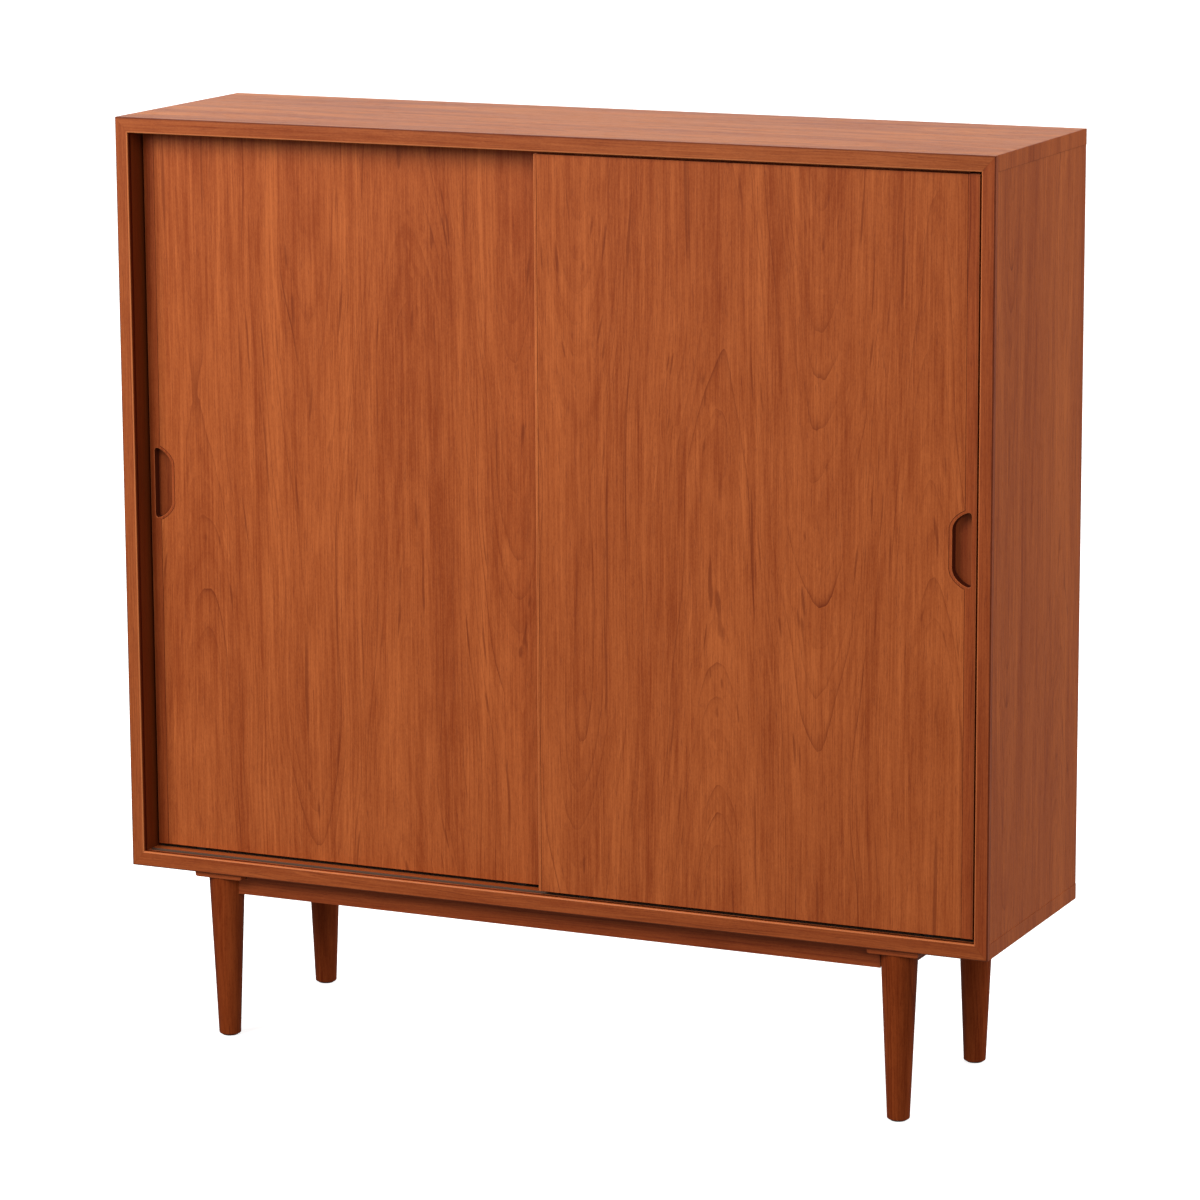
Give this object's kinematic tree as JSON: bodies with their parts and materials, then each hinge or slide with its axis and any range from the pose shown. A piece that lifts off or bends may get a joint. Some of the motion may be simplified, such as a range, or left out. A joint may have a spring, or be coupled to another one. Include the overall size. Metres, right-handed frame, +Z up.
{
  "type": "sideboard buffet",
  "caption": "Tall wooden sideboard with two sliding doors with recessed finger pulls, shelves behind them, and turned tapered legs.",
  "frame": {"origin": "on the floor, under the centre of the cabinet", "axes": "+Z up, +X to the right seen from the front, and the front faces -Y"},
  "size_m": [1.2, 0.33, 1.215],
  "materials": {
    "veneer": "satin lacquer",
    "solid_wood": "satin lacquer",
    "turned_wood": "satin lacquer",
    "plywood": "matt lacquer",
    "rail_plastic": "satin",
    "nylon": "satin",
    "housing_plastic": "satin",
    "steel": "bright zinc",
    "glide_plastic": "matt"
  },
  "bodies": {
    "carcass": {"back_panel": "plywood", "base_rail_front": "solid_wood", "base_rail_left": "solid_wood", "base_rail_rear": "solid_wood", "base_rail_right": "solid_wood", "bottom_panel": "veneer", "centre_partition": "veneer", "door_rail_front": "rail_plastic", "door_rail_rear": "rail_plastic", "end_band_bottom_left": "solid_wood", "end_band_bottom_right": "solid_wood", "end_band_top_left": "solid_wood", "end_band_top_right": "solid_wood", "fixed_shelf_left": "veneer", "fixed_shelf_right": "veneer", "front_lipping_bottom": "solid_wood", "front_lipping_left": "solid_wood", "front_lipping_right": "solid_wood", "front_lipping_top": "solid_wood", "glide_front_left": "glide_plastic", "glide_front_right": "glide_plastic", "glide_rear_left": "glide_plastic", "glide_rear_right": "glide_plastic", "left_side_panel": "veneer", "leg_front_left": "turned_wood", "leg_front_right": "turned_wood", "leg_plate_front_left": "solid_wood", "leg_plate_front_right": "solid_wood", "leg_plate_rear_left": "solid_wood", "leg_plate_rear_right": "solid_wood", "leg_rear_left": "turned_wood", "leg_rear_right": "turned_wood", "loose_shelf_left": "veneer", "loose_shelf_right": "veneer", "partition_lipping": "solid_wood", "right_side_panel": "veneer", "shelf_pin_left_inner_front": "steel", "shelf_pin_left_inner_rear": "steel", "shelf_pin_left_outer_front": "steel", "shelf_pin_left_outer_rear": "steel", "shelf_pin_right_inner_front": "steel", "shelf_pin_right_inner_rear": "steel", "shelf_pin_right_outer_front": "steel", "shelf_pin_right_outer_rear": "steel", "top_panel": "veneer"},
    "left_door": {"left_door_leading_lipping": "solid_wood", "left_door_panel": "veneer", "left_door_pull_lipping": "solid_wood", "left_door_roller_1_housing": "housing_plastic", "left_door_roller_2_housing": "housing_plastic"},
    "right_door": {"right_door_leading_lipping": "solid_wood", "right_door_panel": "veneer", "right_door_pull_lipping": "solid_wood", "right_door_roller_1_housing": "housing_plastic", "right_door_roller_2_housing": "housing_plastic"},
    "left_wheel_1": {"left_door_roller_1_wheel": "nylon"},
    "left_wheel_2": {"left_door_roller_2_wheel": "nylon"},
    "right_wheel_1": {"right_door_roller_1_wheel": "nylon"},
    "right_wheel_2": {"right_door_roller_2_wheel": "nylon"}
  },
  "joints": [
    {"name": "left_door_slide", "type": "slide", "parent": "carcass", "child": "left_door", "axis": [1, 0, 0], "range_m": [0, 0.568]},
    {"name": "right_door_slide", "type": "slide", "parent": "carcass", "child": "right_door", "axis": [1, 0, 0], "range_m": [-0.568, 0]},
    {"name": "left_wheel_1_spin", "type": "hinge", "parent": "left_door", "child": "left_wheel_1", "pos_m": [-0.518, -0.122, 0.2533], "axis": [0, 1, 0], "range_deg": [0, 2962]},
    {"name": "left_wheel_2_spin", "type": "hinge", "parent": "left_door", "child": "left_wheel_2", "pos_m": [-0.05, -0.122, 0.2533], "axis": [0, 1, 0], "range_deg": [0, 2962]},
    {"name": "right_wheel_1_spin", "type": "hinge", "parent": "right_door", "child": "right_wheel_1", "pos_m": [0.518, -0.148, 0.2533], "axis": [0, 1, 0], "range_deg": [-2962, 0]},
    {"name": "right_wheel_2_spin", "type": "hinge", "parent": "right_door", "child": "right_wheel_2", "pos_m": [0.05, -0.148, 0.2533], "axis": [0, 1, 0], "range_deg": [-2962, 0]}
  ],
  "couplings": [
    {"joint": "left_wheel_1_spin", "follows": "left_door_slide", "rad_per_m": 90.909},
    {"joint": "left_wheel_2_spin", "follows": "left_door_slide", "rad_per_m": 90.909},
    {"joint": "right_wheel_1_spin", "follows": "right_door_slide", "rad_per_m": 90.909},
    {"joint": "right_wheel_2_spin", "follows": "right_door_slide", "rad_per_m": 90.909}
  ]
}
